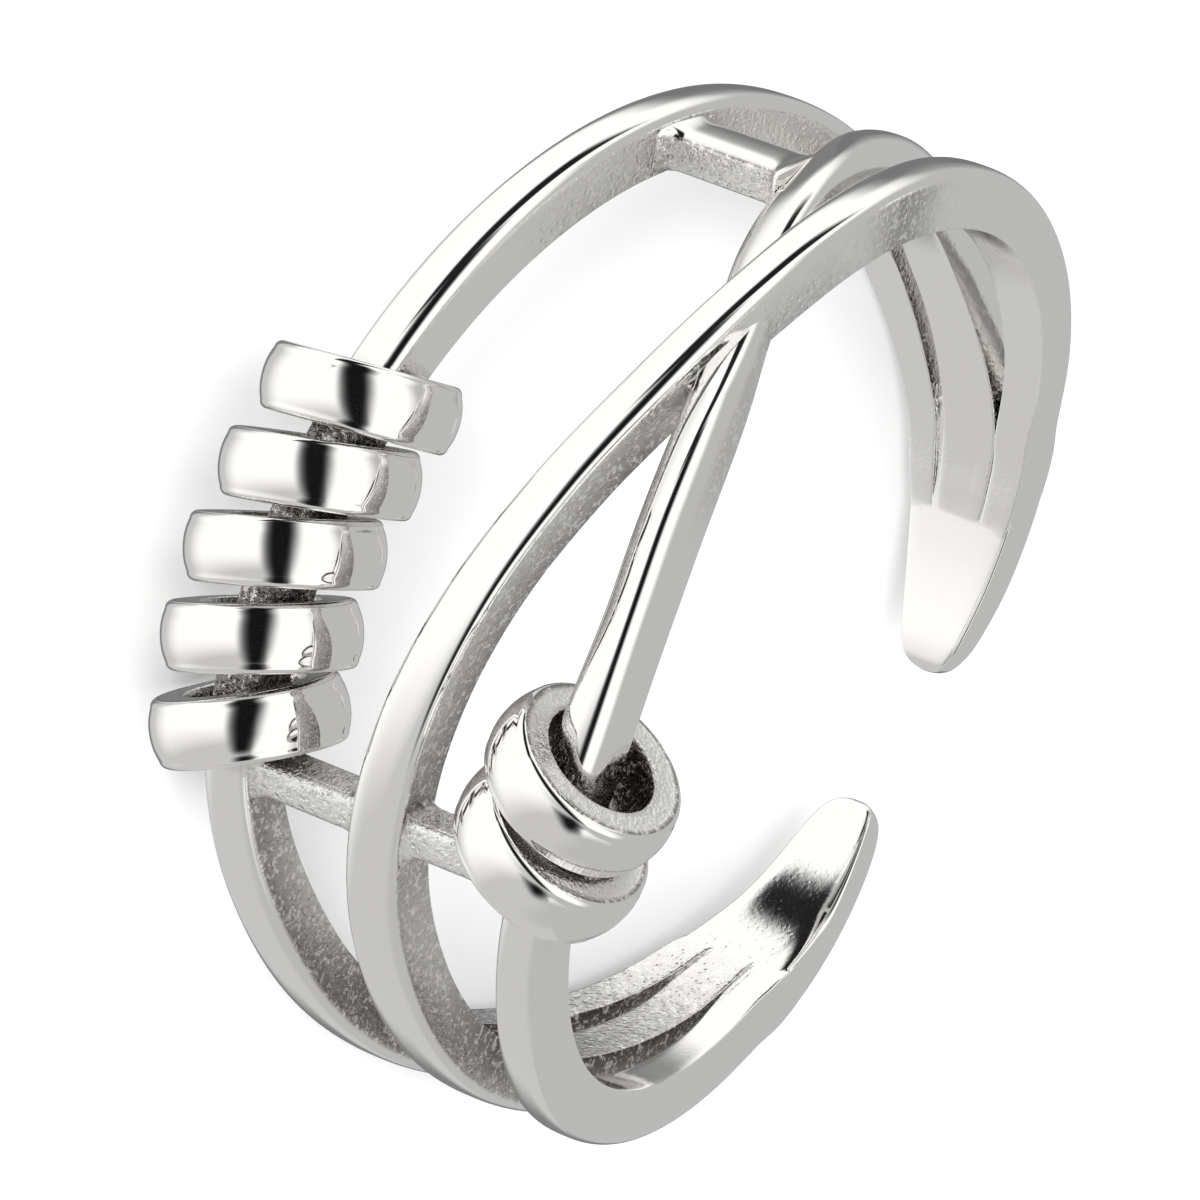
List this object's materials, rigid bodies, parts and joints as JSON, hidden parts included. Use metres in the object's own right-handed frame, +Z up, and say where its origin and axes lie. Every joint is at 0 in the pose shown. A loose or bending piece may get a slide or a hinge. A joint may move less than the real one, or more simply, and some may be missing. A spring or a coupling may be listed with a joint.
{
  "type": "fidget ring",
  "caption": "Open silver-coloured finger ring of crossing cast strands with loose barrel beads that slide along two of the strands.",
  "frame": {"origin": "on the floor, under the middle of the ring's bounding box, as the ring lies on its side", "axes": "+Z up from the floor, about 14 degrees off the finger's axis because the lowest bead props up the front; +Y from the beads towards the opening between the tips; +X towards the side where the lower tip of the picture lies, square to both"},
  "size_m": [0.0202, 0.021, 0.011],
  "materials": {
    "band": "mirror polish on the outer faces, cast grain inside",
    "bead": "mirror polish on the curved wall, fine grain on the end faces"
  },
  "bodies": {
    "band": {"band": "band"},
    "low_bead_1": {"low_bead_1": "bead"},
    "low_bead_2": {"low_bead_2": "bead"},
    "low_bead_3": {"low_bead_3": "bead"},
    "low_bead_4": {"low_bead_4": "bead"},
    "low_bead_5": {"low_bead_5": "bead"},
    "high_bead_1": {"high_bead_1": "bead"},
    "high_bead_2": {"high_bead_2": "bead"}
  },
  "joints": [
    {"name": "low_bead_1_slide", "type": "hinge", "parent": "band", "child": "low_bead_1", "pos_m": [0.00011, 0.0006, 0.00048], "axis": [-0.0706, -0.2199, -0.973], "range_deg": [0, 8]},
    {"name": "low_bead_2_slide", "type": "hinge", "parent": "low_bead_1", "child": "low_bead_2", "pos_m": [0.00011, 0.0006, 0.00048], "axis": [-0.0706, -0.2199, -0.973], "range_deg": [0, 8]},
    {"name": "low_bead_3_slide", "type": "hinge", "parent": "low_bead_2", "child": "low_bead_3", "pos_m": [0.00011, 0.0006, 0.00048], "axis": [-0.0706, -0.2199, -0.973], "range_deg": [0, 8]},
    {"name": "low_bead_4_slide", "type": "hinge", "parent": "low_bead_3", "child": "low_bead_4", "pos_m": [0.00011, 0.0006, 0.00048], "axis": [-0.0706, -0.2199, -0.973], "range_deg": [0, 8]},
    {"name": "low_bead_5_slide", "type": "hinge", "parent": "low_bead_4", "child": "low_bead_5", "pos_m": [0.00011, 0.0006, 0.00048], "axis": [-0.0706, -0.2199, -0.973], "range_deg": [0, 8]},
    {"name": "high_bead_1_slide", "type": "hinge", "parent": "band", "child": "high_bead_1", "pos_m": [0.00023, -0.00047, 0.0038], "axis": [0.0978, -0.6605, -0.7445], "range_deg": [0, 14]},
    {"name": "high_bead_2_slide", "type": "hinge", "parent": "high_bead_1", "child": "high_bead_2", "pos_m": [0.00023, -0.00047, 0.0038], "axis": [0.0978, -0.6605, -0.7445], "range_deg": [0, 14]}
  ]
}
